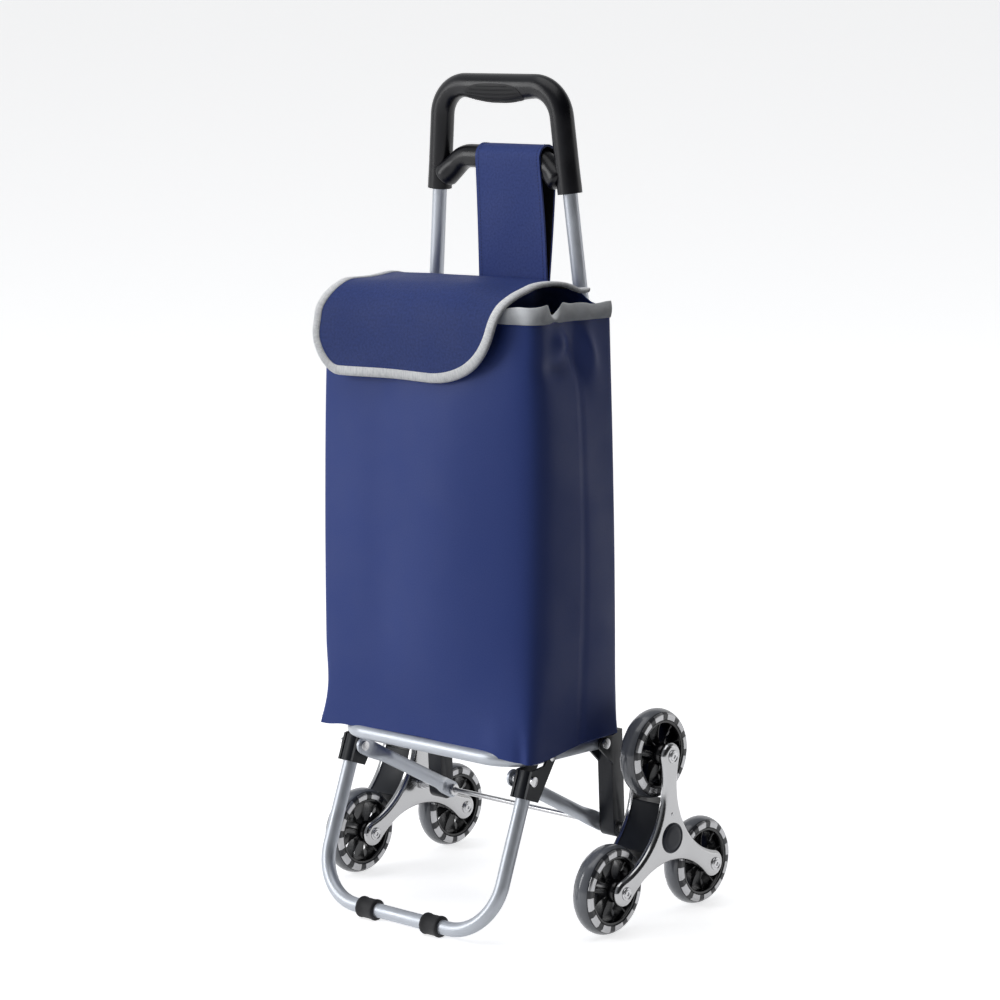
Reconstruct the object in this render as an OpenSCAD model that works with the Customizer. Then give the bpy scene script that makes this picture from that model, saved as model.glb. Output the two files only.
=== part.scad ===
// Folding shopping trolley with stair-climbing three-wheel spiders.
// Frame: X runs across the trolley, the bag's front faces -Y and +Z is up.
// Every shape is drawn about the axle line (Y = 0) and then moved so that the
// origin lies on the floor under the middle of the whole object.

/* [Wheels] */
// Outer diameter of each tyre
wheel_d = 100; // [80:1:110]
// Width of each tyre
tyre_w = 24; // [16:1:28]
// Length of the hub along its bolt
hub_w = 34; // [30:0.5:36]
// Outer diameter of the hub rim under the tyre
hub_d = 76; // [60:1:84]
// Distance from the axle to each wheel bolt
arm_r = 92; // [88:1:105]
// Distance from the trolley's middle to the plane of the wheels
wheel_x = 187; // [182:1:200]

/* [Spider] */
// Thickness of each pressed plate
plate_t = 8; // [4:0.5:9]
// Radius of the rounded arm tips
tip_r = 15; // [12:0.5:20]
// Distance from the axle to the waist between two arms
waist_r = 27; // [22:0.5:34]

/* [Frame] */
// Outer diameter of every frame tube
tube_d = 16; // [14:0.5:19]
// Distance from the middle to each side tube
side_x = 129; // [125:1:135]
// Distance from the middle to each tube at the handle
top_x = 95; // [85:1:110]
// Forward lean of the upright frame, in degrees
lean = 3; // [0:0.5:6]
// Diameter of the axle rod
axle_d = 6; // [5:0.5:8]
// Side of the square posts
post_w = 20; // [18:0.5:22]

/* [Handle] */
// Diameter of the handle's legs
grip_d = 26.5; // [24:0.5:30]
// Height of the handle's top above the axle, along the lean
handle_top = 833; // [780:1:880]
// Height of the handle's sockets above the axle, along the lean
socket_h = 705; // [660:1:740]
// Height of the hook bar above the axle, along the lean
hook_h = 742; // [730:1:750]

/* [Platform and leg] */
// Reach of the platform in front of its pivot
platform_reach = 143; // [135:1:160]
// Backward slope of the leg, in degrees
leg_slope = 20.7; // [14:0.1:24]
// Length of a leg from its bottom bar to its top end
leg_len = 184.4; // [174:0.2:190]
// Diameter of the two rubber foot sleeves
sleeve_d = 24; // [20:0.5:28]

/* [Bag] */
// Width of the bag
bag_w = 296; // [260:1:300]
// Height of the bag's underside above the floor
bag_z = 207; // [207:1:215]
// Height of the drawstring channel's top above the floor
rim_z = 690; // [640:1:692]
// Thickness of the bag's fabric walls
cloth_t = 2; // [1:0.5:4]
// Width of the hanging strap
strap_w = 98; // [60:1:110]

/* [Hidden] */

$fn = 48;
hull_fn = 32;
gap = 0.05;                 // radial clearance of pins and axles
tube_r = tube_d / 2;
tube_in = tube_r - 1.2;     // inner radius of a tube
axle_r = axle_d / 2;
pin_r = 3;                  // pins, rivets and bolts
silver = [0.69, 0.72, 0.77];
plastic = [0.09, 0.10, 0.12];
navy = [0.20, 0.26, 0.48];
chrome = [0.80, 0.81, 0.83];
grey = [0.70, 0.70, 0.71];
left = -1;
right = 1;

// Wheels: two of the three stand on the floor
wheel_r = wheel_d / 2;
wheel_angles = [90, 210, 330];      // top, front, rear
axle_z = wheel_r + arm_r * sin(30);
core_in = wheel_x - 19;             // inner face of the core
core_out = wheel_x + 19;

// Platform and leg pivots, as [y, z] from the axle line and the floor
pivot = [-27, axle_z + 100];
platform_tilt = 1;
rivet_reach = 92;
rivet = pivot + rivet_reach * [-cos(platform_tilt), sin(platform_tilt)];
strut_end = [-150, axle_z + 80];
flat_sole = 0.6;                    // depth cut flat under each foot sleeve
bar_z = sleeve_d / 2 - flat_sole;
bar_y = -208;
ear_t = 3;                          // thickness of clevis ears
ear_gap = 0.3;                      // space between an ear and its tube
strut_x = 105.7;
tab_t = 3.5;

// Handle curves, in the leaning plane of the frame
grip_r = grip_d / 2;
kink_h = 370;                       // where the tubes begin to converge
converge = atan((side_x - top_x) / (socket_h - kink_h));
corner_r = 36.5;                    // handle corner, at the tube's centre line
corner_h = handle_top - grip_r - corner_r;
corner_foot_h = corner_h + corner_r * sin(converge);
corner_foot_x = top_x - (corner_foot_h - socket_h) * tan(converge);
corner_x = corner_foot_x - corner_r * cos(converge);
hook_flat = 45;                     // half length of the hook bar's level part
hook_bend = 30;
hook_drop = 40;                     // slope of the hook bar's ends, in degrees
hook_r = 13;

// Bag planes, as [y, z] of the outer face
back_low = [-19, bag_z];
back_high = [-43.5, 698];
front_low = [-172, bag_z];
front_high = [-163, rim_z];
channel_h = 18;
wall_top = rim_z - channel_h;
strap_x = 22;
strap_t = 1.7;
hook_y = -hook_h * sin(lean);
hook_z = axle_z + hook_h * cos(lean);

// Flap, as [y, z] points of its middle surface from hinge to free edge
flap_t = 3;
flap_line = [[-51.5, 700], [-80, 704.5], [-120, 704.5], [-156, 702], [-175, 684], [-179, 660], [-179, 606]];
flap_left = -150;
flap_right = 110;
flap_corner_r = 55;
bind_w = 7;
bind_t = 5;

// Middle of the whole object, front to back
front_reach = -bar_y + sleeve_d / 2;
rear_reach = arm_r * cos(30) + wheel_r;
axle_y = (front_reach - rear_reach) / 2;

// ---- helpers ----

// Moves the drawing from the axle line to the object's own origin
module place() translate([0, axle_y, 0]) children();

// Draws for the right side, mirrored for the left
module on_side(side) mirror([side < 0 ? 1 : 0, 0, 0]) children();

// A cylinder along X
module rod_x(x0, x1, r, y = 0, z = 0)
    translate([x0, y, z]) rotate([0, 90, 0]) cylinder(h = x1 - x0, r = r);

// A flat [y, z] outline drawn out along X
module slab_x(x0, x1) translate([x0, 0, 0]) rotate([90, 0, 90]) linear_extrude(x1 - x0) children();

// The tilted frame of the uprights, with its origin on the axle
module leaning() translate([0, 0, axle_z]) rotate([lean, 0, 0]) children();

function unit(v) = v / norm(v);
function side_of(v) = [-v[1], v[0]];

// A straight strip between two [y, z] points, t thick
module strip(a, b, t, x0, x1) {
    n = side_of(unit(b - a)) * t / 2;
    slab_x(x0, x1) polygon([a + n, b + n, b - n, a - n]);
}

// A panel between two [y, z] points of its outer face, t thick towards +Y when t > 0
module panel(a, b, t, x0, x1)
    slab_x(x0, x1) polygon([a, b, b + [t, 0], a + [t, 0]]);

function on_line(a, b, z) = a + (b - a) * (z - a[1]) / (b[1] - a[1]);

// ---- handle ----

// Sloping centre line of the right tube from a height on the lean
module tube_line(h)
    translate([top_x + (socket_h - h) * tan(converge), 0, h]) rotate([0, -converge, 0]) children();

// Straight runs reach this far into a bend and are this much slimmer than it
lap = 1;
slimmer = 0.05;

module grip_core() {
    run = grip_r - slimmer;
    for (side = [left, right]) on_side(side) {
        tube_line(socket_h) cylinder(h = (corner_foot_h - socket_h) / cos(converge) + lap, r = run);
        translate([corner_x, 0, corner_h]) rotate([90, 0, 0]) rotate([0, 0, converge])
            rotate_extrude(angle = 90 - converge) translate([corner_r, 0]) circle(r = grip_r);
    }
    rod_x(-corner_x - lap, corner_x + lap, run, 0, handle_top - grip_r);
}

// Swelling under the top bar
module grip_belly(r) {
    belly = [[44, 14.5], [30, 16.5], [12, 18.3]];
    hull() for (p = belly, s = [-1, 1])
        translate([s * p[0], 0, handle_top - p[1]]) sphere(r = r, $fn = hull_fn);
}

belly_r = grip_r - 0.3;
screw_h = socket_h + 14;
module handle_loop() color(plastic) place() leaning() difference() {
    union() {
        grip_core();
        grip_belly(belly_r);
    }
    for (side = [left, right]) on_side(side) {
        tube_line(socket_h - 1) cylinder(h = 60, r = tube_r + gap);
        tube_line(screw_h) rotate([-90, 0, 0]) translate([0, 0, grip_r - 2.5]) cylinder(h = 5, r = 3);
    }
}

module grip_insert() color([0.12, 0.12, 0.14]) place() leaning() difference() {
    intersection() {
        grip_belly(belly_r + 0.8);
        translate([-44, -20, handle_top - 40]) cube([84, 26, 32]);
    }
    grip_belly(belly_r);
    rod_x(-corner_x, corner_x, grip_r - slimmer, 0, handle_top - grip_r);
}

module handle_screws() color(chrome) place() leaning()
    for (side = [left, right]) on_side(side)
        tube_line(screw_h) rotate([-90, 0, 0]) translate([0, 0, grip_r - 2.5]) cylinder(h = 2.3, r = 3);

module hook_bar() color(plastic) place() leaning() difference() {
    union() {
        rod_x(-hook_flat - lap, hook_flat + lap, hook_r - slimmer, 0, hook_h);
        for (side = [left, right]) on_side(side) {
            translate([hook_flat, 0, hook_h - hook_bend]) rotate([90, 0, 0]) rotate([0, 0, 90 - hook_drop])
                rotate_extrude(angle = hook_drop) translate([hook_bend, 0]) circle(r = hook_r);
            translate([hook_flat + hook_bend * sin(hook_drop), 0, hook_h - hook_bend * (1 - cos(hook_drop))])
                rotate([0, 90 + hook_drop, 0]) translate([0, 0, -lap]) cylinder(h = 33, r = hook_r - slimmer);
        }
    }
    for (side = [left, right]) on_side(side)
        tube_line(socket_h - 20) cylinder(h = 120, r = grip_r);
    // nothing of the bar reaches past the legs
    for (side = [left, right]) on_side(side)
        tube_line(socket_h - 30) translate([0, -20, 0]) cube([30, 40, 140]);
}

// ---- upright frame ----

module hollow(h, r = tube_r, inner = tube_in) difference() {
    cylinder(h = h, r = r);
    translate([0, 0, -1]) cylinder(h = h + 2, r = inner);
}

tube_depth = 45;            // how far a tube reaches into the handle
module upper_tube(side) color(silver) place() leaning() on_side(side)
    tube_line(kink_h + 1) hollow((socket_h + tube_depth - kink_h - 1) / cos(converge));

post_top = 111;
post_bottom = -12;
socket_bottom = 50;
module lower_tube(side) color(silver) place() leaning() on_side(side)
    translate([side_x, 0, socket_bottom]) hollow(kink_h - 1 - socket_bottom);

module tube_collar(side) color(plastic) place() leaning() on_side(side) difference() {
    translate([side_x, 0, kink_h - 11]) cylinder(h = 22, r = 10.5);
    translate([side_x, 0, kink_h - 20]) cylinder(h = 20, r = tube_r + gap);
    tube_line(kink_h) cylinder(h = 20, r = tube_r + gap);
    translate([side_x, 0, kink_h]) sphere(r = tube_r + gap);
}

// The platform pivot in the post's own leaning axes
pivot_rel = [
    pivot[0] * cos(lean) + (pivot[1] - axle_z) * sin(lean),
    -pivot[0] * sin(lean) + (pivot[1] - axle_z) * cos(lean)
];
ear_in = side_x - tube_r - ear_gap;
ear_out = side_x + tube_r + ear_gap;

module ear_outline() {
    translate(pivot_rel) circle(r = 9.5);
    polygon([[-8, 74], [-8, post_top], [pivot_rel[0], pivot_rel[1] + 9.5],
             pivot_rel + 9.5 * [-cos(36), -sin(36)]]);
}

module post(side) color(plastic) place() leaning() on_side(side) difference() {
    union() {
        slab_x(side_x - post_w / 2, side_x + post_w / 2) {
            translate([-post_w / 2, post_bottom + 10]) square([post_w, post_top - post_bottom - 10]);
            translate([0, post_bottom + 10]) circle(r = 10);
        }
        slab_x(ear_in - ear_t, ear_in) ear_outline();
        slab_x(ear_out, ear_out + ear_t) ear_outline();
    }
    translate([side_x, 0, socket_bottom]) cylinder(h = 80, r = tube_r + gap);
    rod_x(100, 160, axle_r + gap, 0, 0);
    rod_x(100, 160, pin_r + gap, pivot_rel[0], pivot_rel[1]);
}

post_out = side_x + post_w / 2;
post_in = side_x - post_w / 2;

module axle_rod() color(chrome) place() rod_x(-core_out - 4, core_out + 4, axle_r, 0, axle_z);

// Nuts and spacer sleeves threaded on the axle, from the strut outwards
strut_out = strut_x + tube_r;
strut_tab = strut_out - tab_t;
axle_stack = [[strut_tab - 3.5, strut_tab - 0.3, 6.5], [strut_out + 0.3, post_in, 5.5],
              [post_out, core_in - plate_t - 4, 5.5], [core_in - plate_t - 4, core_in - plate_t - 0.4, 7],
              [core_out + 0.4, core_out + 4, 6.5]];
module axle_fasteners() color(chrome) place()
    for (side = [left, right], s = axle_stack) on_side(side) difference() {
        rod_x(s[0], s[1], s[2], 0, axle_z);
        rod_x(s[0] - 1, s[1] + 1, axle_r + gap, 0, axle_z);
    }

// A pin through a clevis with a flat head at each end
module headed_pin(x0, x1, y, z, head_r, head_t) {
    rod_x(x0 - head_t, x1 + head_t, pin_r, y, z);
    rod_x(x0 - head_t, x0, head_r, y, z);
    rod_x(x1, x1 + head_t, head_r, y, z);
}

module pivot_bolts() color(chrome) place()
    for (side = [left, right]) on_side(side)
        headed_pin(ear_in - ear_t, ear_out + ear_t, pivot[0], pivot[1], 6, 2.5);

// ---- platform and leg ----

platform_bend = 40;
module platform_path(r) {
    rail = platform_reach - platform_bend;
    for (side = [left, right]) on_side(side) {
        translate([side_x, 6.5, 0]) rotate([90, 0, 0]) cylinder(h = rail + 6.5, r = r);
        translate([side_x - platform_bend, -rail, 0]) rotate([0, 0, -90])
            rotate_extrude(angle = 90) translate([platform_bend, 0]) circle(r = r);
    }
    rod_x(-side_x + platform_bend, side_x - platform_bend, r, -platform_reach, 0);
}

module platform_tube() color(silver) place()
    translate([0, pivot[0], pivot[1]]) rotate([-platform_tilt, 0, 0]) difference() {
        platform_path(tube_r);
        translate([0, 0.01, 0]) platform_path(tube_in);
        for (side = [left, right]) on_side(side) for (y = [0, -rivet_reach])
            rod_x(100, 160, pin_r + gap, y, 0);
    }

// The leg's own plane: origin on the bottom bar, +Z up the leg
module leg_plane() translate([0, bar_y, bar_z]) rotate([-leg_slope, 0, 0]) children();

leg_bend = 60;
module leg_path(r, extra = 0) {
    for (side = [left, right]) on_side(side) {
        translate([side_x, 0, leg_bend]) cylinder(h = leg_len - leg_bend + extra, r = r);
        translate([side_x - leg_bend, 0, leg_bend]) rotate([90, 0, 0]) rotate([0, 0, -90])
            rotate_extrude(angle = 90) translate([leg_bend, 0]) circle(r = r);
    }
    rod_x(-side_x + leg_bend, side_x - leg_bend, r, 0, 0);
}

module leg_tube() color(silver) place() leg_plane() difference() {
    leg_path(tube_r);
    leg_path(tube_in, 1);
}

// Outline of a bracket's ears, as [y, z]
socket_low = 154;           // from the bottom bar, along the leg
function along_leg(v, y = 0) = [bar_y + v * sin(leg_slope) + y * cos(leg_slope),
                                bar_z + v * cos(leg_slope) - y * sin(leg_slope)];
module bracket_outline() {
    translate(rivet) circle(r = 7.5);
    polygon([along_leg(socket_low, -9), along_leg(leg_len, -9), rivet + [-12, -8.1], rivet + [-7.2, -2],
             rivet + [7, -2.7], along_leg(socket_low, 13)]);
}

module leg_bracket(side) color(plastic) place() on_side(side) difference() {
    union() {
        slab_x(ear_in - ear_t, ear_in) bracket_outline();
        slab_x(ear_out, ear_out + ear_t) bracket_outline();
        leg_plane() translate([side_x, 0, socket_low]) cylinder(h = leg_len - socket_low, r = 11);
        leg_plane() translate([ear_in - 1, 0, socket_low]) cube([ear_out - ear_in + 2, 12, 24]);
    }
    leg_plane() translate([side_x, 0, socket_low - 1])
        cylinder(h = leg_len - socket_low + 2, r = tube_r + gap);
    rod_x(100, 160, pin_r + gap, rivet[0], rivet[1]);
    rod_x(ear_out - 0.2, 160, pin_r + gap, strut_end[0], strut_end[1]);
}

module bracket_rivets() color(chrome) place()
    for (side = [left, right]) on_side(side)
        headed_pin(ear_in - ear_t, ear_out + ear_t, rivet[0], rivet[1], 4.5, 1.8);

module leg_bolts() color(chrome) place()
    for (side = [left, right]) on_side(side) {
        rod_x(ear_out - 0.1, ear_out + ear_t, pin_r, strut_end[0], strut_end[1]);
        rod_x(ear_out + ear_t, ear_out + ear_t + 2.5, 5.5, strut_end[0], strut_end[1]);
    }

module foot_sleeve(side) color([0.06, 0.06, 0.07]) place() on_side(side) difference() {
    rod_x(36, 60, sleeve_d / 2, bar_y, bar_z);
    rod_x(35, 61, tube_r + gap, bar_y, bar_z);
    translate([30, bar_y - 20, -10]) cube([40, 40, 10]);
}

// ---- struts ----

strut_len = norm(strut_end - [0, axle_z]);
strut_rise = atan2(strut_end[1] - axle_z, -strut_end[0]);
neck = 34;                  // from a hole to the full round tube
tab_r = 9.5;
module strut(side) color(silver) place() on_side(side)
    translate([strut_x, 0, axle_z]) rotate([-strut_rise, 0, 0]) rotate([90, 0, 0]) difference() {
        union() {
            translate([0, 0, neck]) cylinder(h = strut_len - 2 * neck, r = tube_r);
            for (flip = [0, 1]) translate([0, 0, flip * strut_len]) mirror([0, 0, flip]) {
                hull() {
                    translate([0, 0, neck]) cylinder(h = 0.1, r = tube_r, $fn = hull_fn);
                    translate([strut_tab - strut_x, -tab_r, 16]) cube([tab_t, 2 * tab_r, 0.1]);
                }
                translate([strut_tab - strut_x, -tab_r, 0]) cube([tab_t, 2 * tab_r, 16.1]);
                rod_x(strut_tab - strut_x, strut_out - strut_x, tab_r);
            }
        }
        rod_x(-20, 20, axle_r + gap);
        translate([0, 0, strut_len]) rod_x(-20, 20, pin_r + gap);
        translate([0, 0, neck]) cylinder(h = strut_len - 2 * neck, r = tube_in);
    }

module strut_rivet(side) color(chrome) place() on_side(side) {
    rod_x(strut_tab - 2.5, strut_out + 3, pin_r, strut_end[0], strut_end[1]);
    rod_x(strut_tab - 2.5, strut_tab, 5.5, strut_end[0], strut_end[1]);
    rod_x(strut_out, ear_in - ear_t - 0.4, 5.5, strut_end[0], strut_end[1]);
}

// ---- spiders ----

// Radius of the arc that joins two arm tips past a waist
function web_arc(tip, waist) =
    (tip * tip - waist * waist - arm_r * arm_r + arm_r * waist) / (2 * waist - arm_r - 2 * tip);
function polar(r, a) = r * [cos(a), sin(a)];

// Points along an arc from angle a0 to a1
function arc(c, r, a0, a1, n) = [for (i = [0 : n]) c + polar(r, a0 + (a1 - a0) * i / n)];

// Three round tips joined by three concave arcs that run tangent into them
module spider_outline(inset = 0) {
    tip = tip_r - inset;
    waist = waist_r - inset;
    web_r = web_arc(tip, waist);
    to_web = polar(web_r + waist, 60) - [arm_r, 0];
    turn = atan2(to_web[1], to_web[0]);
    polygon([for (a = wheel_angles) each concat(
        arc(polar(arm_r, a), tip, a - turn, a + turn, 20),
        arc(polar(web_r + waist, a + 60), web_r, a + turn + 179, a - turn + 301, 24))]);
}

module at_axle() translate([0, 0, axle_z]) children();
module bolt_holes(x0, x1) for (a = wheel_angles)
    rod_x(x0, x1, pin_r + gap, polar(arm_r, a)[0], polar(arm_r, a)[1]);

nut_room = 9;
arm_screw = 27;             // small screw on the upper arm
module spider_plate_outer(side) color(chrome) place() on_side(side) at_axle() difference() {
    union() {
        slab_x(core_out, core_out + plate_t - 2) spider_outline();
        slab_x(core_out + plate_t - 2, core_out + plate_t) spider_outline(2);
    }
    bolt_holes(core_out - 1, core_out + plate_t + 1);
    rod_x(core_out - 1, core_out + plate_t + 1, nut_room);
    rod_x(core_out + plate_t - 3, core_out + plate_t + 1, 1.5, 0, arm_screw);
}

module spider_plate_inner(side) color(chrome) place() on_side(side) at_axle() difference() {
    union() {
        slab_x(core_in - plate_t + 2, core_in) spider_outline();
        slab_x(core_in - plate_t, core_in - plate_t + 2) spider_outline(2);
    }
    bolt_holes(core_in - plate_t - 1, core_in + 1);
    rod_x(core_in - plate_t - 1, core_in + 1, axle_r + gap);
}

module spider_core(side) color(plastic) place() on_side(side) at_axle() difference() {
    slab_x(core_in, core_out) difference() {
        spider_outline(1);
        for (a = wheel_angles) translate(polar(arm_r, a)) circle(r = wheel_r + 4);
    }
    rod_x(core_in - 1, core_out + 1, axle_r + gap);
}

module spider_cap(side) color([0.10, 0.12, 0.17]) place() on_side(side) at_axle() {
    rod_x(core_out + plate_t, core_out + plate_t + 1, 17);
    rod_x(core_out + plate_t + 1, core_out + plate_t + 2.5, 15.5);
}

// Wheel bolts, each with its spacer sleeve, and the small arm screw
module wheel_bolts(side) color(chrome) place() on_side(side) at_axle() {
    for (a = wheel_angles) {
        p = polar(arm_r, a);
        rod_x(core_in, core_out, 5, p[0], p[1]);
        headed_pin(core_in - plate_t, core_out + plate_t, p[0], p[1], 6.5, 2);
    }
    rod_x(core_out + plate_t - 3, core_out + plate_t + 0.6, 1.5, 0, arm_screw);
}

// ---- wheels ----

module at_wheel(side, i) on_side(side)
    translate([wheel_x, polar(arm_r, wheel_angles[i])[0], axle_z + polar(arm_r, wheel_angles[i])[1]])
        rotate([0, 90, 0]) children();

module tyre(side, i) color([0.33, 0.34, 0.36]) place() at_wheel(side, i)
    rotate_extrude($fn = 72) difference() {
        intersection() {
            translate([hub_d / 2, -tyre_w / 2]) square([wheel_r - hub_d / 2, tyre_w]);
            translate([wheel_r - 15, 0]) circle(r = 15, $fn = 64);
        }
    }

spoke_n = 10;
module hub(side, i) color([0.05, 0.05, 0.06]) place() at_wheel(side, i) difference() {
    union() {
        rotate_extrude($fn = 72) {
            translate([hub_d / 2 - 4, -10]) square([4, 20]);
            translate([5 + gap, -hub_w / 2]) square([7, hub_w]);
        }
        for (s = [0 : spoke_n - 1]) rotate([0, 0, s * 360 / spoke_n])
            translate([9, -1, -8]) cube([hub_d / 2 - 11, 2, 16]);
    }
    translate([0, 0, -hub_w]) cylinder(h = 2 * hub_w, r = 5 + gap);
}

// ---- bag ----

half_bag = bag_w / 2;
function back_at(z) = on_line(back_low, back_high, z);
function front_at(z) = on_line(front_low, front_high, z);

module bag_front_panel() color(navy) place()
    panel(front_low, front_at(wall_top), cloth_t, -half_bag, half_bag);

module bag_back_panel() color(navy) place()
    panel(back_low, back_high, -cloth_t, -half_bag, half_bag);

module bag_side(side) color(navy) place() on_side(side)
    slab_x(half_bag - cloth_t, half_bag) polygon([
        front_low + [cloth_t, 0], front_at(wall_top) + [cloth_t, 0],
        back_at(wall_top) - [cloth_t, 0], back_low - [cloth_t, 0]]);

module bag_bottom_panel() color([0.12, 0.13, 0.2]) place()
    translate([-half_bag + cloth_t, front_low[0] + cloth_t + 0.1, bag_z])
        cube([bag_w - 2 * cloth_t, back_low[0] - front_low[0] - 2 * cloth_t - 0.4, cloth_t]);

module base_board() color([0.3, 0.3, 0.3]) place()
    translate([-half_bag + 6, front_low[0] + 7, bag_z + cloth_t])
        cube([bag_w - 12, back_low[0] - front_low[0] - 14, 3]);

// Gathered band round the front and the sides of the opening
module drawstring_channel() color(grey) place() {
    front_y = front_at(wall_top)[0] - 0.5;
    back_y = back_at(wall_top)[0] - cloth_t - 1;
    translate([0, 0, wall_top]) linear_extrude(channel_h) difference() {
        translate([-half_bag, front_y]) square([bag_w, back_y - front_y]);
        translate([-half_bag + 3, front_y + 3]) square([bag_w - 6, back_y - front_y]);
    }
}

// Wide strap that hangs the bag from the hook bar
module hanging_strap() color(navy) place() {
    x0 = strap_x - strap_w / 2;
    x1 = strap_x + strap_w / 2;
    loop_in = hook_r + 1;
    mid_r = loop_in + strap_t / 2;
    straight_z = hook_z - 30;       // both layers hang plumb down to here
    foot_z = 701;
    difference() {
        rod_x(x0, x1, loop_in + strap_t, hook_y, hook_z);
        rod_x(x0 - 1, x1 + 1, loop_in, hook_y, hook_z);
        translate([x0 - 1, hook_y - 30, hook_z - 30]) cube([strap_w + 2, 60, 30]);
    }
    for (layer = [[-mid_r, -46.3], [mid_r, -43.8]]) {
        strip([hook_y + layer[0], hook_z], [hook_y + layer[0], straight_z], strap_t, x0, x1);
        strip([hook_y + layer[0], straight_z], [layer[1], foot_z], strap_t, x0, x1);
        rod_x(x0, x1, strap_t / 2, hook_y + layer[0], straight_z);
    }
    translate([x0, -47.2, 698.1]) cube([strap_w, 4.4, 3.2]);
}

// ---- flap ----

module flap_sheet(t, x0, x1) {
    for (i = [0 : len(flap_line) - 2]) strip(flap_line[i], flap_line[i + 1], t, x0, x1);
    for (p = flap_line) rod_x(x0, x1, t / 2, p[0], p[1]);
}

// Leaves a rounded lower corner with its centre r inside the two edges
module corner_cut(x, z, r, dir)
    translate([x, 0, z]) mirror([dir > 0 ? 0 : 1, 0, 0]) difference() {
        translate([-r, -200, -20]) cube([r + 10, 60, r + 20]);
        translate([-r, -100, r]) rotate([90, 0, 0]) cylinder(h = 120, r = r, $fn = 96);
    }

module flap_shape(t, inset) {
    bottom = flap_line[len(flap_line) - 1][1] + inset;
    difference() {
        flap_sheet(t, flap_left + inset, flap_right - inset);
        corner_cut(flap_right - inset, bottom - t / 2, flap_corner_r - inset, right);
        corner_cut(flap_left + inset, bottom - t / 2, flap_corner_r - inset, left);
        translate([-200, -200, bottom - t / 2 - 20]) cube([400, 60, 20]);
    }
}

module flap() color(navy) place() flap_shape(flap_t, 0);

module flap_binding() color(grey) place() difference() {
    flap_shape(bind_t, -1);
    translate([0, 0, -1]) flap_shape(bind_t + 4, bind_w);
    flap_shape(flap_t, 0);
    translate([-200, flap_line[0][0] - 3, 680]) cube([400, 20, 40]);
}

handle_loop();
grip_insert();
hook_bar();
handle_screws();
upper_tube(left);  // upper_tube_left
upper_tube(right);  // upper_tube_right
tube_collar(left);  // tube_collar_left
tube_collar(right);  // tube_collar_right
lower_tube(left);  // lower_tube_left
lower_tube(right);  // lower_tube_right
post(left);  // post_left
post(right);  // post_right
axle_rod();
axle_fasteners();
pivot_bolts();
bag_front_panel();
bag_back_panel();
bag_side(left);  // bag_side_left
bag_side(right);  // bag_side_right
bag_bottom_panel();
base_board();
drawstring_channel();
hanging_strap();
flap();
flap_binding();
platform_tube();
leg_tube();
leg_bracket(left);  // leg_bracket_left
leg_bracket(right);  // leg_bracket_right
bracket_rivets();
leg_bolts();
foot_sleeve(left);  // foot_sleeve_left
foot_sleeve(right);  // foot_sleeve_right
strut(left);  // strut_left
strut_rivet(left);  // strut_rivet_left
strut(right);  // strut_right
strut_rivet(right);  // strut_rivet_right
spider_plate_outer(left);  // spider_plate_outer_left
spider_plate_inner(left);  // spider_plate_inner_left
spider_core(left);  // spider_core_left
spider_cap(left);  // spider_cap_left
wheel_bolts(left);  // wheel_bolts_left
spider_plate_outer(right);  // spider_plate_outer_right
spider_plate_inner(right);  // spider_plate_inner_right
spider_core(right);  // spider_core_right
spider_cap(right);  // spider_cap_right
wheel_bolts(right);  // wheel_bolts_right
tyre(left, 0);  // tyre_left_top
hub(left, 0);  // hub_left_top
tyre(left, 1);  // tyre_left_front
hub(left, 1);  // hub_left_front
tyre(left, 2);  // tyre_left_rear
hub(left, 2);  // hub_left_rear
tyre(right, 0);  // tyre_right_top
hub(right, 0);  // hub_right_top
tyre(right, 1);  // tyre_right_front
hub(right, 1);  // hub_right_front
tyre(right, 2);  // tyre_right_rear
hub(right, 2);  // hub_right_rear
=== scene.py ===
"""The looks of a folding shopping trolley with stair-climbing wheels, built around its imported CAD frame.

Lengths in the geometry sections are millimetres about the axle line: X to the right, Y from the axle towards
the back, Z up from the floor. at() and leaning() turn them into places in the frame, in metres."""

from math import acos, atan2, copysign, cos, degrees, exp, pi, radians, sin, sqrt, tan

import bmesh
import bpy
import numpy as np
from mathutils import Euler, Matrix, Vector


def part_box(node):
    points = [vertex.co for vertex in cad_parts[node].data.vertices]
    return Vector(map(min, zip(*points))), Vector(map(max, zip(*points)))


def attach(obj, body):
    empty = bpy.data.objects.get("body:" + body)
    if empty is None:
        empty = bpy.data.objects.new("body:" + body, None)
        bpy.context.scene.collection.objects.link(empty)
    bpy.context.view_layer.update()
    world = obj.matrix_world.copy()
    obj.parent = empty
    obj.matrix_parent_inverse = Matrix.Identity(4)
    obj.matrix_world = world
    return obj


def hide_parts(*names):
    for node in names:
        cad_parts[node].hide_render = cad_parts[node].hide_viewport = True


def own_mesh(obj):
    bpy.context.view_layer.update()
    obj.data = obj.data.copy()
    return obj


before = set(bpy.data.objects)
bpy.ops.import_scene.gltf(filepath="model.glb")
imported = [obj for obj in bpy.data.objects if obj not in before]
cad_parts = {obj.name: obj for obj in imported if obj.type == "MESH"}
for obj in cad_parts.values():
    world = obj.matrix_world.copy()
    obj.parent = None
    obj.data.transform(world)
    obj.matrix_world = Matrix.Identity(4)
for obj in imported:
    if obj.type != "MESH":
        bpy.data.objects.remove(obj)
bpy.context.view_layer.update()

MM = 0.001
SIDES = (("left", -1), ("right", 1))
axle_low, axle_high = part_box("axle_rod")
AXLE_Y = (axle_low.y + axle_high.y) / 2 / MM
AXLE_Z = (axle_low.z + axle_high.z) / 2 / MM


def at(x, y, z):
    """A place given about the axle line, in the frame's metres."""
    return (x * MM, (y + AXLE_Y) * MM, z * MM)


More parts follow.
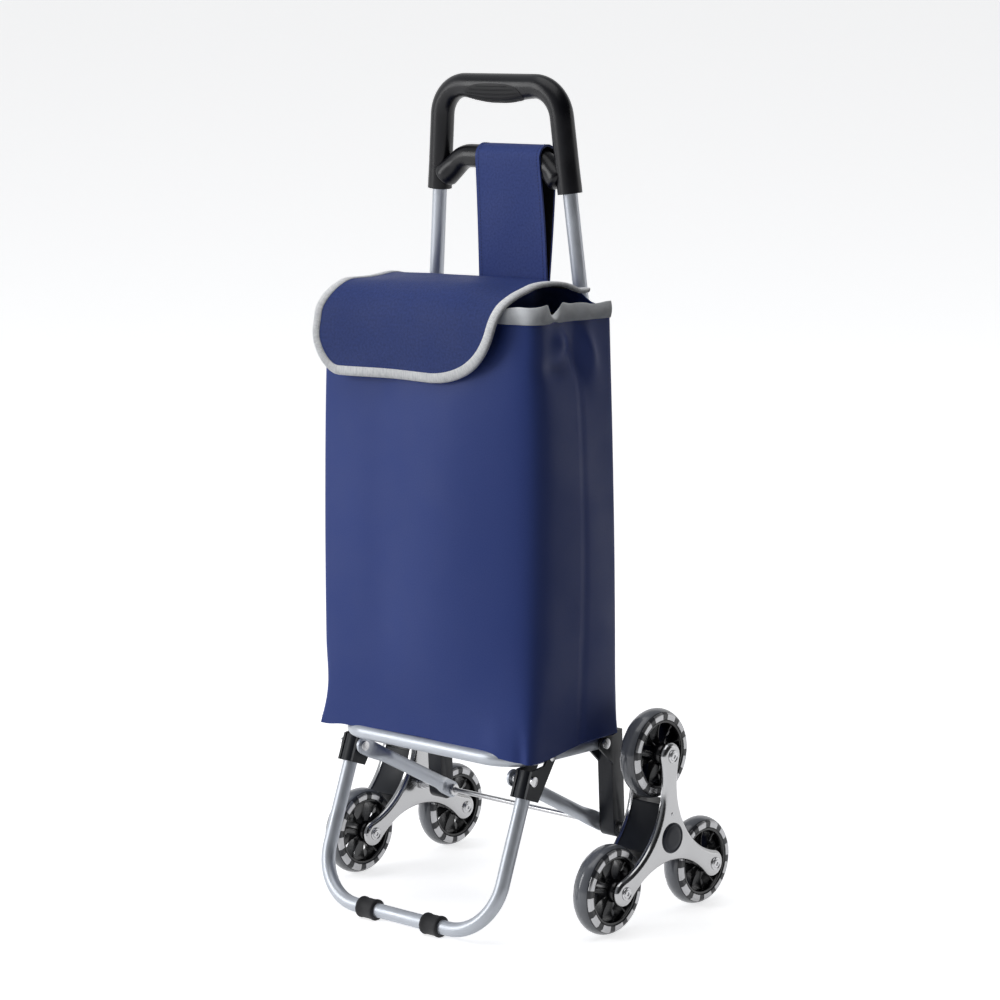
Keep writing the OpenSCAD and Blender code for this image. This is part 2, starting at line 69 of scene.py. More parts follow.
def span(node, axis):
    """Lowest and highest coordinate of a CAD node along an axis, in millimetres about the axle line."""
    low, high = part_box(node)
    shift = AXLE_Y if axis == 1 else 0
    return low[axis] / MM - shift, high[axis] / MM - shift


LEAN = radians(3)


def leaning(x, y, h):
    """A place in the leaning plane of the uprights, h above the axle."""
    return at(
        x,
        y * cos(LEAN) - h * sin(LEAN),
        AXLE_Z + y * sin(LEAN) + h * cos(LEAN),
    )


def ease(a, b, v):
    """0 below a, 1 above b and smooth between them."""
    t = min(max((v - a) / (b - a), 0.0), 1.0)
    return t * t * (3 - 2 * t)


def mix(a, b, t):
    return a + (b - a) * t


def curve(points, v):
    """A smooth value at v through (v, value) pairs."""
    for (v0, a), (v1, b) in zip(points, points[1:]):
        if v <= v1:
            return mix(a, b, ease(v0, v1, v))
    return points[-1][1]


def flow(points, v):
    """A value at v on a line that runs smoothly through (v, value) pairs without stopping at them."""
    knots, values = zip(*points)
    slopes = np.gradient(values, knots)
    i = min(max(int(np.searchsorted(knots, v)) - 1, 0), len(knots) - 2)
    wide = knots[i + 1] - knots[i]
    t = min(max((v - knots[i]) / wide, 0.0), 1.0)
    share = t * t * (3 - 2 * t)
    pull = t * (1 - t) * ((1 - t) * slopes[i] - t * slopes[i + 1]) * wide
    return mix(values[i], values[i + 1], share) + pull


def hump(v, centre, width):
    return exp(-(((v - centre) / width) ** 2))


# ---------------------------------------------------------------- materials

paint = {}


class Nodes:
    """A node tree under construction."""

    def __init__(self, tree):
        self.tree = tree

    def node(self, kind, inputs=None, **settings):
        node = self.tree.nodes.new(kind)
        for key, value in settings.items():
            setattr(node, key, value)
        for key, value in (inputs or {}).items():
            self.put(node, key, value)
        return node

    def put(self, node, key, value):
        if isinstance(value, bpy.types.NodeSocket):
            self.tree.links.new(value, node.inputs[key])
        else:
            node.inputs[key].default_value = value


class Finish(Nodes):
    """A procedural material under construction."""

    def __init__(self, name):
        paint[name] = bpy.data.materials.new(name)
        paint[name].use_nodes = True
        super().__init__(paint[name].node_tree)
        self.shader = self.tree.nodes["Principled BSDF"]

    def shade(self, **values):
        for key, value in values.items():
            self.put(self.shader, key.replace("_", " "), value)

    def place(self):
        return self.node("ShaderNodeTexCoord").outputs["Object"]

    def noise(self, size, detail=3.0, where=None):
        """Noise whose grains are about size metres wide."""
        vector = self.place() if where is None else where
        inputs = {"Vector": vector, "Scale": 1 / size, "Detail": detail}
        return self.node("ShaderNodeTexNoise", inputs).outputs["Fac"]

    def math(self, operation, a, b=0.0):
        return self.node("ShaderNodeMath", {0: a, 1: b}, operation=operation).outputs[0]

    def spread(self, value, low, high):
        inputs = {"Value": value, "From Min": 0.3, "From Max": 0.7, "To Min": low, "To Max": high}
        return self.node("ShaderNodeMapRange", inputs).outputs[0]

    def blend(self, share, a, b):
        node = self.node("ShaderNodeMix", data_type="RGBA")
        self.put(node, 0, share)
        for index, value in ((6, a), (7, b)):
            self.put(node, index, value if isinstance(value, bpy.types.NodeSocket) else (*value, 1))
        return node.outputs[2]

    def bump(self, height, strength, depth, under=None):
        inputs = {"Height": height, "Strength": strength, "Distance": depth}
        if under is not None:
            inputs["Normal"] = under
        return self.node("ShaderNodeBump", inputs).outputs[0]

    def weave(self, pitch):
        """A plain weave from the UV map, which is in metres."""
        uv = self.node("ShaderNodeUVMap", uv_map="cloth").outputs[0]
        axes = self.node("ShaderNodeSeparateXYZ", {0: uv})
        turns = 2 * pi / pitch
        waves = [self.math("SINE", self.math("MULTIPLY", axes.outputs[i], turns)) for i in (0, 1)]
        product = self.math("MULTIPLY", *waves)
        return self.math("MULTIPLY_ADD", product, 0.5), uv


def satin(name, colour, roughness, grain=0.0012, bump=0.25, metallic=0.0, spread=0.06, tint=0.12, **more):
    """Paint, plastic or rubber: fine grain, uneven gloss and a slight change of colour."""
    f = Finish(name)
    cloud = f.noise(0.03, 4.0)
    fine = f.noise(grain, 2.0)
    pale = tuple(c * (1 + tint) for c in colour)
    deep = tuple(c * (1 - tint) for c in colour)
    f.shade(
        Base_Color=f.blend(f.spread(cloud, 0.0, 1.0), deep, pale),
        Roughness=f.spread(cloud, roughness - spread, roughness + spread),
        Metallic=metallic,
        Normal=f.bump(fine, bump, 0.0002),
    )
    f.shade(**more)


def cloth(name, colour, pitch, roughness, relief, depth, sheen=0.3, contrast=0.25, wrinkle=0.0):
    """Woven cloth: threads along the UV map, uneven dye and a little fuzz."""
    f = Finish(name)
    threads, uv = f.weave(pitch)
    cloud = f.noise(0.045, 4.0)
    speck = f.noise(pitch * 1.7, 2.0, uv)
    flecks = f.math("MULTIPLY", f.spread(speck, 0.0, 1.0), 0.6)
    share = f.math("ADD", f.math("MULTIPLY", threads, 0.7), flecks)
    pale = tuple(min(c * (1 + contrast) + 0.004, 1) for c in colour)
    deep = tuple(c * (1 - contrast) for c in colour)
    dyed = f.blend(share, deep, pale)
    worn = f.blend(f.spread(cloud, 0.0, 0.16), dyed, pale)
    height = f.math("ADD", threads, f.math("MULTIPLY", speck, 0.8))
    normal = f.bump(height, relief, depth)
    if wrinkle:
        soft = f.noise(0.05, 2.0)
        normal = f.bump(soft, wrinkle, 0.004, normal)
    f.shade(
        Base_Color=worn,
        Roughness=f.spread(cloud, roughness - 0.05, roughness + 0.05),
        Sheen_Weight=sheen,
        Specular_IOR_Level=0.25,
        Sheen_Roughness=0.45,
        Normal=normal,
    )


def make_materials():
    """One material for each of the record's slots, and some for parts of a slot."""
    satin("silver_paint", (0.58, 0.61, 0.66), 0.4, metallic=0.5, bump=0.12, tint=0.05)
    satin("steel", (0.56, 0.56, 0.57), 0.28, metallic=1.0, bump=0.1, tint=0.06)
    satin("chrome_plate", (0.45, 0.45, 0.455), 0.16, 0.02, 0.02, 1.0, 0.04, 0.03)
    satin("black_plastic", (0.008, 0.01, 0.015), 0.42, bump=0.3, Specular_IOR_Level=0.3)
    satin("handle_plastic", (0.005, 0.005, 0.008), 0.3, 0.0009, 0.25, Specular_IOR_Level=0.35)
    satin("hub_plastic", (0.003, 0.003, 0.005), 0.2, 0.004, 0.08, spread=0.04)
    satin("cap_plastic", (0.008, 0.011, 0.024), 0.42, bump=0.25, Specular_IOR_Level=0.3)
    satin("grip_rubber", (0.012, 0.012, 0.014), 0.5, bump=0.4, Specular_IOR_Level=0.3)
    satin("rubber", (0.008, 0.008, 0.01), 0.62, 0.0015, 0.5)
    satin("tyre", (0.2, 0.21, 0.235), 0.22, 0.004, 0.05, spread=0.05, Coat_Weight=0.5)
    satin("tyre_side", (0.045, 0.047, 0.055), 0.28, 0.004, 0.05, spread=0.05)
    satin("tyre_window", (0.46, 0.46, 0.47), 0.3, 0.003, 0.1, 0.9)
    satin("board", (0.03, 0.03, 0.035), 0.7)
    satin("thread", (0.02, 0.03, 0.12), 0.6)
    glow = {"Emission_Color": (1, 1, 1, 1), "Emission_Strength": 0.7}
    satin("floor", (0.86, 0.86, 0.87), 0.6, 0.01, 0.02, spread=0.02, tint=0.005, **glow)
    cloth("bag_fabric", (0.026, 0.055, 0.25), 0.0009, 0.5, 0.12, 0.0001, 0.0, 0.1, 0.1)
    cloth("woven_fabric", (0.021, 0.042, 0.18), 0.0016, 0.6, 0.5, 0.0003, 0.0, 0.3)
    cloth("strap_fabric", (0.034, 0.06, 0.235), 0.0016, 0.6, 0.5, 0.0003, 0.0, 0.25)
    cloth("channel_fabric", (0.9, 0.92, 0.96), 0.0012, 0.6, 0.3, 0.0002, 0.1, 0.06)
    cloth("binding_tape", (0.80, 0.82, 0.86), 0.0018, 0.62, 0.7, 0.0004, 0.1, 0.25)
    cloth("lining", (0.006, 0.006, 0.008), 0.0012, 0.6, 0.3, 0.0002, 0.1, 0.2)


make_materials()

# ---------------------------------------------------------------- mesh helpers


def add_object(name, data):
    obj = bpy.data.objects.new(name, data)
    bpy.context.scene.collection.objects.link(obj)
    return obj


class Shape:
    """Vertices and faces of one piece, added part by part."""

    def __init__(self, rings=None, **how):
        self.verts, self.faces, self.marks, self.uvs = [], [], [], []
        if rings:
            self.rings(rings, **how)

    def rings(self, rings, loop=False, caps=True, mark=0, uv=None):
        """Joins closed rings of points into a skin. loop joins the last ring to the first."""
        start, count, width = len(self.verts), len(rings), len(rings[0])
        for ring in rings:
            self.verts.extend(tuple(p) for p in ring)
        for i in range(count if loop else count - 1):
            for j in range(width):
                corners = ((i, j), (i, j + 1), (i + 1, j + 1), (i + 1, j))
                face = [start + (a % count) * width + b % width for a, b in corners]
                self.face(face, mark, [uv(a, b) for a, b in corners] if uv else None)
        if caps and not loop:
            self.face([start + j for j in reversed(range(width))], mark)
            self.face([start + (count - 1) * width + j for j in range(width)], mark)

    def face(self, corners, mark=0, uv=None):
        self.faces.append(corners)
        self.marks.append(mark)
        self.uvs.append(uv or [(0.0, 0.0)] * len(corners))

    def piece(self, name, body, slot, replaces=(), materials=None, angle=40, closed=True):
        """The finished object, riding on a body and standing for CAD nodes."""
        mesh = bpy.data.meshes.new(name)
        mesh.from_pydata(self.verts, [], self.faces)
        layer = mesh.uv_layers.new(name="cloth")
        layer.data.foreach_set("uv", [c for face in self.uvs for pair in face for c in pair])
        for m in materials or [slot]:
            mesh.materials.append(paint[m])
        mesh.polygons.foreach_set("material_index", self.marks)
        if closed:
            work = bmesh.new()
            work.from_mesh(mesh)
            bmesh.ops.remove_doubles(work, verts=work.verts, dist=1e-7)
            bmesh.ops.recalc_face_normals(work, faces=work.faces)
            work.to_mesh(mesh)
            work.free()
        mesh.shade_smooth()
        mesh.set_sharp_from_angle(angle=radians(angle))
        obj = add_object(name, mesh)
        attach(obj, body)
        if replaces:
            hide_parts(*replaces)
        return obj


def lathe(shape, profile, place, n=64, loop=False):
    """Turns (x, r) points about an axis along X through place, an (x, y, z) about the axle line."""
    cx, cy, cz = place
    rings = [[at(cx + x, cy + r * cos(a), cz + r * sin(a)) for a in circle(n)] for x, r in profile]
    shape.rings(rings, loop=loop, caps=not loop)


def circle(n):
    """The angles of n equal steps round a circle."""
    return [2 * pi * k / n for k in range(n)]


def shares(n):
    return [i / n for i in range(n + 1)]


def quarter(n):
    return [pi / 2 * i / n for i in range(n + 1)]


def polar(r, turn):
    return r * cos(radians(turn)), r * sin(radians(turn))


# ---------------------------------------------------------------- CAD nodes that stay


def smooth_group(sharp_angle=38):
    """Geometry nodes that join a CAD node's split vertices and shade it smooth between its edges."""
    group = bpy.data.node_groups.new("cad_smooth", "GeometryNodeTree")
    for way in ("INPUT", "OUTPUT"):
        group.interface.new_socket("Geometry", in_out=way, socket_type="NodeSocketGeometry")
    g = Nodes(group)
    mesh = g.node("NodeGroupInput").outputs[0]
    mesh = g.node("GeometryNodeRemoveAttribute", {0: mesh, "Name": "custom_normal"}).outputs[0]
    mesh = g.node("GeometryNodeMergeByDistance", {0: mesh, "Distance": 2e-6}).outputs[0]
    mesh = g.node("GeometryNodeSetShadeSmooth", {0: mesh}).outputs[0]
    angle = g.node("GeometryNodeInputMeshEdgeAngle").outputs["Unsigned Angle"]
    compare = {"data_type": "FLOAT", "operation": "GREATER_THAN"}
    sharp = g.node("FunctionNodeCompare", {0: angle, 1: radians(sharp_angle)}, **compare).outputs[0]
    edges = {0: mesh, "Selection": sharp, "Shade Smooth": False}
    mesh = g.node("GeometryNodeSetShadeSmooth", edges, domain="EDGE").outputs[0]
    g.node("NodeGroupOutput", {0: mesh})
    return group


def dress_cad(node, material, group, bevel=0.0006):
    """A CAD node that stays visible: its material, rounded edges and smooth shading."""
    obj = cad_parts[node]
    obj.data.materials.clear()
    obj.data.materials.append(paint[material])
    weld = obj.modifiers.new("weld", "WELD")
    weld.merge_threshold = 2e-6
    if bevel:
        round_off = obj.modifiers.new("round edges", "BEVEL")
        round_off.width = bevel
        round_off.segments = 2
        round_off.limit_method = "ANGLE"
        round_off.angle_limit = radians(50)
        round_off.use_clamp_overlap = True
    finish = obj.modifiers.new("smooth", "NODES")
    finish.node_group = group


def dress_frame():
    group = smooth_group()
    tubes = ["platform_tube", "leg_tube"]
    tubes += [f"{part}_tube_{side}" for part in ("upper", "lower") for side, _ in SIDES]
    for node in tubes:
        dress_cad(node, "silver_paint", group, 0.0)
    for side, _ in SIDES:
        for part in ("post", "leg_bracket", "tube_collar", "spider_core"):
            dress_cad(f"{part}_{side}", "black_plastic", group)
        dress_cad(f"strut_rivet_{side}", "steel", group, 0.0004)
    for node in ("axle_rod", "axle_fasteners", "pivot_bolts", "bracket_rivets", "leg_bolts", "handle_screws"):
        dress_cad(node, "steel", group, 0.0004)


# ---------------------------------------------------------------- wheels

WHEEL_ANGLES = {"top": 90, "front": 210, "rear": 330}
TREAD_ROUND = 15  # radius of the tread's rounding
RIM_R = 38
WINDOW_N = 12
WINDOW_TOP = 46.2


def wheel_place(side, spot):
    x, y, z = [sum(span(f"tyre_{side}_{spot}", axis)) / 2 for axis in range(3)]
    return x, y, z


def tread_reach(r, half, wheel_r):
    """Half width of the tyre at radius r."""
    inner = wheel_r - TREAD_ROUND
    return min(half, sqrt(max(TREAD_ROUND**2 - (r - inner) ** 2, 0)))


def make_tyre(side, spot, half, wheel_r):
    """A smoky tread, darker at its sides, with a ring of pale blocks moulded into each side."""
    place, n = wheel_place(side, spot), 96
    inner = wheel_r - TREAD_ROUND
    turn = acos(half / TREAD_ROUND)
    arc = [mix(pi - turn, turn, t) for t in shares(20)]
    profile = [(-half + 1, RIM_R), (-half, RIM_R + 1), (-half, 42)]
    profile += [(TREAD_ROUND * cos(a), inner + TREAD_ROUND * sin(a)) for a in arc]
    profile += [(half, 42), (half, RIM_R + 1), (half - 1, RIM_R), (0, RIM_R)]
    tyre = Shape()
    lathe(tyre, profile, place, n, loop=True)
    for i, (_, r) in enumerate(profile):
        if max(r, profile[(i + 1) % len(profile)][1]) < WINDOW_TOP + 1.5:
            tyre.marks[i * n : (i + 1) * n] = [1] * n
    node = f"tyre_{side}_{spot}"
    tyre.piece(f"tread_{side}_{spot}", f"wheel_{side}_{spot}", "tyre", [node], ["tyre", "tyre_side"])
    windows = Shape()
    for face in (-1, 1):
        for k in range(WINDOW_N):
            middle = 360 / WINDOW_N * k + 8
            add_window(windows, place, face, middle, half, wheel_r)
    windows.piece(f"tread_windows_{side}_{spot}", f"wheel_{side}_{spot}", "tyre", materials=["tyre_window"])


def add_window(shape, place, face, middle, half, wheel_r):
    """One pale block moulded into the tyre's side, 19 degrees wide, standing 0.25 mm proud of its curve."""
    cx, cy, cz = place
    turns = [middle + 9.5 * j / 3 for j in range(-3, 4)]
    rings = []
    for t in shares(8):
        r = mix(RIM_R + 0.6, WINDOW_TOP, t)
        ring = []
        for proud, row in ((0.25, turns), (-1.0, list(reversed(turns)))):
            x = face * (tread_reach(r, half, wheel_r) + proud)
            ring += [at(cx + x, *np.add((cy, cz), polar(r, turn))) for turn in row]
        rings.append(ring)
    shape.rings(rings)


def make_hub(side, spot):
    """A black rim and boss joined by ten thin ribs."""
    place = wheel_place(side, spot)
    half = (span(f"hub_{side}_{spot}", 0)[1] - span(f"hub_{side}_{spot}", 0)[0]) / 2
    hub = Shape()
    lip = [(8, 33.6), (11, 35.2), (11.4, 36.4), (11.2, 37.6), (10, 38)]
    rim = lip + [(-x, r) for x, r in reversed(lip)]
    lathe(hub, rim, place, 96, loop=True)
    end = [(9, 12.6), (half - 1, 11.5), (half, 10.5), (half, 5.1)]
    boss = [(-x, r) for x, r in reversed(end)] + end
    lathe(hub, boss, place, 48, loop=True)
    for k in range(10):
        add_rib(hub, place, 36 * k + 18)
    hub.piece(f"rim_{side}_{spot}", f"wheel_{side}_{spot}", "hub_plastic", [f"hub_{side}_{spot}"])


def add_rib(shape, place, turn):
    """A thin deep rib, shallower half way out and thicker at its roots."""
    cx, cy, cz = place
    along, across = polar(1, turn), polar(1, turn + 90)
    rings = []
    for t in shares(8):
        r = mix(11, 35, t)
        deep = mix(8, 9, t) - 2.2 * sin(pi * t)
        thick = 0.75 + 0.75 * abs(2 * t - 1) ** 3
        ring = []
        near = [(-deep, thick), (-deep - 0.5, 0), (-deep, -thick)]
        for x, w in near + [(-x, -w) for x, w in near]:
            ring.append(at(cx + x, cy + along[0] * r + across[0] * w, cz + along[1] * r + across[1] * w))
        rings.append(ring)
    shape.rings(rings)


# ---------------------------------------------------------------- spiders

ARM_R = 92
TIP_R = 15
WAIST_R = 27


def web_arc(tip, waist):
    """Radius of the concave arc that joins two arm tips past a waist."""
    return (tip**2 - waist**2 - ARM_R**2 + ARM_R * waist) / (2 * waist - ARM_R - 2 * tip)


def spider_outline(inset):
    """Three round tips joined by three concave arcs, as (y, z) about the axle."""
    tip, waist = TIP_R - inset, WAIST_R - inset
    web = web_arc(tip, waist)
    to_web = np.subtract(polar(web + waist, 60), (ARM_R, 0))
    turn = degrees(atan2(to_web[1], to_web[0]))
    points = []
    for a in WHEEL_ANGLES.values():
        for t in shares(20):
            points.append(np.add(polar(ARM_R, a), polar(tip, mix(a - turn, a + turn, t))))
        for t in shares(24):
            angle = mix(a + turn + 179, a - turn + 301, t)
            points.append(np.add(polar(web + waist, a + 60), polar(web, angle)))
    return points


def make_plate(side, sign, layer, base, face):
    """A plate whose rim is rounded over from base to its polished face."""
    steps = [(0.0, 0.4), (0.04, 0.0), (0.3, 0.0)]
    steps += [(mix(0.3, 1.0, sin(a)), 5.2 * (1 - cos(a))) for a in quarter(7)[1:]]
    rings = []
    for share, inset in steps:
        x = sign * mix(base, face, share)
        rings.append([at(x, y, AXLE_Z + z) for y, z in spider_outline(inset)])
    node = f"spider_plate_{layer}_{side}"
    Shape(rings).piece(f"arm_plate_{layer}_{side}", f"spider_{side}", "chrome_plate", [node], angle=50)


def make_arm_bolts(side, sign, core, plates):
    """Three wheel bolts with ringed heads, and the small screw of the upper arm."""
    bolts = Shape()
    inner, outer = plates
    for a in WHEEL_ANGLES.values():
        y, z = polar(ARM_R, a)
        place = (0, y, AXLE_Z + z)
        shank = [(sign * core[0], 0.01), (sign * core[0], 5), (sign * core[1], 5), (sign * core[1], 0.01)]
        lathe(bolts, shank, place, 32)
        for face, out in ((outer, 1), (inner, -1)):
            head = [(-0.5, 7.4), (1.0, 7.4), (1.7, 6.9), (1.9, 6.2), (1.2, 5.3), (1.2, 4.7), (1.9, 4.2)]
            head += [(2.1, 3.4), (2.1, 2.2), (1.1, 1.9), (1.1, 0.01)]
            lathe(bolts, [(sign * (face + out * x), r) for x, r in head], place, 40)
    screw = [(-1, 1.9), (0.4, 1.9), (0.7, 1.4), (0.5, 0.7), (0.2, 0.6), (0.2, 0.01)]
    lathe(bolts, [(sign * (outer + x), r) for x, r in screw], (0, 0, AXLE_Z + 27), 20)
    bolts.piece(f"arm_bolts_{side}", f"spider_{side}", "steel", [f"wheel_bolts_{side}"])


def make_cap(side, sign):
    low, high = sorted(abs(v) for v in span(f"spider_cap_{side}", 0))
    cap = Shape()
    profile = [(low, 17), (low + 0.9, 17), (high - 0.6, 16.4), (high - 0.1, 15.2), (high - 0.1, 14.6)]
    profile += [(high - 0.7, 14.2), (high - 0.7, 13.6), (high - 0.2, 12.8), (high, 8), (high + 0.1, 0.01)]
    lathe(cap, [(sign * x, r) for x, r in profile], (0, 0, AXLE_Z), 64)
    cap.piece(f"axle_cover_{side}", f"spider_{side}", "cap_plastic", [f"spider_cap_{side}"])


def make_spiders():
    for side, sign in SIDES:
        core = sorted(abs(v) for v in span(f"spider_core_{side}", 0))
        outer = max(abs(v) for v in span(f"spider_plate_outer_{side}", 0))
        inner = min(abs(v) for v in span(f"spider_plate_inner_{side}", 0))
        make_plate(side, sign, "outer", core[1], outer)
        make_plate(side, sign, "inner", core[0], inner)
        make_arm_bolts(side, sign, core, (inner, outer))
        make_cap(side, sign)
        for spot in WHEEL_ANGLES:
            low, high = span(f"tyre_{side}_{spot}", 0)
            z0, z1 = span(f"tyre_{side}_{spot}", 2)
            make_tyre(side, spot, (high - low) / 2, (z1 - z0) / 2)
            make_hub(side, spot)


# ---------------------------------------------------------------- struts and feet

STRUT_X = 105.7
STRUT_TOP = (-150, 176)
TUBE_R = 8
TAB_T = 3.5
TAB_R = 9.5


def strut_section(s, length):
    """Half width, half thickness and squareness of a strut at s from one end."""
    end = min(s, length - s)
    width = mix(TAB_R, TUBE_R, ease(14, 36, end))
    if end < 0:
        width = sqrt(max(TAB_R**2 - end**2, 0.01))
    thick = mix(TAB_T / 2, TUBE_R, ease(12, 38, end))
    return width, thick, mix(5.0, 2.0, ease(10, 30, end))


def make_strut(side, sign):
    """A tube pressed flat and rounded at both ends."""
    run = np.subtract(STRUT_TOP, (0, AXLE_Z))
    length = float(np.hypot(*run))
    along = run / length
    across = np.array([-along[1], along[0]])
    stops = [-TAB_R * cos(a) for a in quarter(8)]
    stops += [4 * i for i in range(1, 12)]
    stops += [length - s for s in reversed(stops)]
    rings = []
    for s in stops:
        width, thick, power = strut_section(s, length)
        middle = STRUT_X + TUBE_R - thick
        ring = []
        for a in circle(40):
            c, q = cos(a), sin(a)
            w = width * copysign(abs(c) ** (2 / power), c)
            x = middle + thick * copysign(abs(q) ** (2 / power), q)
            y, z = np.array([0, AXLE_Z]) + along * s + across * w
            ring.append(at(sign * x, y, z))
        rings.append(ring)
    Shape(rings).piece(f"brace_{side}", f"strut_{side}", "silver_paint", [f"strut_{side}"], angle=55)


def make_foot(side, sign):
    """A rubber sleeve on the bottom bar with thick rims and a flat sole."""
    node = f"foot_sleeve_{side}"
    x0, x1 = sorted(abs(v) for v in span(node, 0))
    y0, y1 = span(node, 1)
    top = span(node, 2)[1]
    r = (y1 - y0) / 2
    rim = ((0, 8.3), (0, r - 1.2), (0.5, r - 0.3), (1.4, r), (3.4, r), (4.4, r - 0.7))
    stations = [(x0 + d, radius) for d, radius in rim] + [(x1 - d, radius) for d, radius in reversed(rim)]

    def skin(x, radius, a):
        return at(sign * x, (y0 + y1) / 2 + radius * cos(a), max(top - r + radius * sin(a), 0.0))

    rings = [[skin(x, radius, a) for a in circle(56)] for x, radius in stations]
    Shape(rings, loop=True).piece(f"foot_rubber_{side}", "leg", "rubber", [node])


# ---------------------------------------------------------------- handle

GRIP_R = 13.25
CORNER_R = 36.5
TOP_X = 95
SOCKET_H = 705
CONVERGE = radians(5.80)
HANDLE_TOP = 833
corner_h = HANDLE_TOP - GRIP_R - CORNER_R
foot_h = corner_h + CORNER_R * sin(CONVERGE)
foot_x = TOP_X - (foot_h - SOCKET_H) * tan(CONVERGE)
corner_x = foot_x - CORNER_R * cos(CONVERGE)


def handle_path():
    """Centre line of the handle from the right socket to the left, as (x, h, outward x, outward h)."""
    out = (cos(CONVERGE), sin(CONVERGE))
    path = []
    for t in shares(9)[:-1]:
        h = mix(SOCKET_H, foot_h, t)
        path.append((TOP_X - (h - SOCKET_H) * tan(CONVERGE), h, *out))
    for t in shares(16):
        c, q = polar(1, mix(degrees(CONVERGE), 90, t))
        path.append((corner_x + CORNER_R * c, corner_h + CORNER_R * q, c, q))
    for t in shares(12)[1:-1]:
        path.append((mix(corner_x, 0, t), HANDLE_TOP - GRIP_R, 0.0, 1.0))
    mirrored = [(-x, h, -ox, oh) for x, h, ox, oh in reversed(path)]
    return path + [(0.0, HANDLE_TOP - GRIP_R, 0.0, 1.0)] + mirrored


def belly(x):
    """How far the grip swells downwards at x."""
    return 4.8 * (1 - ease(6, 56, abs(x)))


def grip_ring(x, h, ox, oh, radius, swell, n=48):
    ring = []
    for a in circle(n):
        outward = radius * sin(a)
        if outward < 0:
            outward -= swell * ease(0, 0.8, -sin(a))
        ring.append(leaning(x + ox * outward, radius * cos(a), h + oh * outward))
    return ring


def make_handle():
    path = handle_path()
    rings = []
    first, last = path[0], path[-1]
    for x, h, ox, oh in path:
        radius = GRIP_R + 0.35 * (1 - ease(SOCKET_H + 2, SOCKET_H + 34, h))
        swell = belly(x) * oh if h > corner_h else 0.0
        rings.append(grip_ring(x, h, ox, oh, radius, swell))

    def mouth(end):
        x, h, ox, oh = end
        steps = ((0, GRIP_R - 0.6), (0.2, TUBE_R + 0.8), (6, TUBE_R + 0.2))
        return [grip_ring(x, h + up, ox, oh, r, 0.0) for up, r in steps]

    loop = Shape(list(reversed(mouth(first))) + rings + mouth(last), caps=False)
    loop.piece("handle_body", "frame", "handle_plastic", ["handle_loop"], closed=False)


def pad_point(x, turn, proud):
    """A point of the grip's skin at x and turn radians below its front, standing proud."""
    radius = GRIP_R + proud
    outward = -radius * sin(turn)
    outward -= belly(x) * ease(0, 0.8, sin(turn)) if turn > 0 else 0.0
    return leaning(x, -radius * cos(turn), HANDLE_TOP - GRIP_R + outward)


def make_grip_pad():
    """The textured insert under the front of the grip: a thin skin with rows of small studs."""
    x0, x1 = span("grip_insert", 0)
    columns, rows = 44, 14
    low, high = -0.25, 1.9

    def edge(i):
        """Share of the pad's height that is left near its pointed ends."""
        t = abs(2 * i / columns - 1)
        return sqrt(max(1 - t**3, 0.0))

    def skin(proud):
        sheet = []
        for i in range(columns + 1):
            x = mix(x0, x1, i / columns)
            middle, half = (low + high) / 2, (high - low) / 2 * edge(i)
            turns = [mix(middle - half, middle + half, t) for t in shares(rows)]
            sheet.append([pad_point(x, turn, proud) for turn in turns])
        return sheet

    top, under = skin(0.45), skin(-0.4)
    pad = Shape([a + list(reversed(b)) for a, b in zip(top, under)])
    for i in range(2, 27):
        for j in range(8):
            x = mix(x0, x1, (i + 0.5 * (j % 2)) / 28)
            turn = mix(low + 0.25, high - 0.25, j / 7)
            inside = edge((x - x0) / (x1 - x0) * columns) * (high - low) / 2 - 0.15
            if abs(turn - (low + high) / 2) < inside:
                add_stud(pad, x, turn)
    pad.piece("grip_pad", "frame", "grip_rubber", ["grip_insert"])


def add_stud(shape, x, turn):
    def skin(reach, proud, a):
        return pad_point(x + reach * cos(a), turn + reach * sin(a) / GRIP_R, proud)

    steps = ((0.85, 0.2), (0.8, 0.7), (0.5, 0.95), (0.1, 1.0))
    shape.rings([[skin(*step, a) for a in circle(8)] for step in steps])


HOOK_H = 742
HOOK_FLAT = 45
HOOK_BEND = 30
HOOK_DROP = radians(40)
HOOK_R = 13


def make_hook_bar():
    """The arched bar below the handle, swelling into rounded roots in front of the legs."""
    half = [(mix(0, HOOK_FLAT, i / 6), HOOK_H, 0.0) for i in range(6)]
    for i in range(9):
        a = HOOK_DROP * i / 8
        half.append((HOOK_FLAT + HOOK_BEND * sin(a), HOOK_H - HOOK_BEND * (1 - cos(a)), a))
    end_x, end_h, a = half[-1]
    for s in (4, 8, 12, 16, 20, 23):
        half.append((end_x + s * cos(a), end_h - s * sin(a), a))
    path = [(-x, h, -a) for x, h, a in reversed(half[1:])] + half
    root_x = half[-1][0]
    rings = []
    for x, h, a in path:
        near = ease(root_x - 18, root_x, abs(x))
        radius = HOOK_R + 1.2 * near
        rings.append(hook_ring(x, h, a, radius, -2.5 * near))
    closing = [(1.5, 0.96), (3.2, 0.85), (4.6, 0.66), (5.5, 0.4), (5.8, 0.05)]
    for flip in (1, -1):
        x, h, a = path[-1] if flip > 0 else path[0]
        for s, share in closing:
            place = x + flip * s * cos(a), h - abs(s * sin(a))
            ring = hook_ring(*place, a, (HOOK_R + 1.2) * share, -2.5)
            rings = rings + [ring] if flip > 0 else [ring] + rings
    Shape(rings).piece("hook_arch", "frame", "handle_plastic", ["hook_bar"])


def hook_ring(x, h, a, radius, forward, n=40):
    ring = []
    for t in circle(n):
        up = radius * sin(t)
        ring.append(leaning(x + up * sin(a), forward + radius * cos(t), h + up * cos(a)))
    return ring


# ---------------------------------------------------------------- strap

STRAP_T = 1.7
FOOT_STEPS = 16  # stations up each straight run of the strap
ARCH_STEPS = 18  # and over the bar


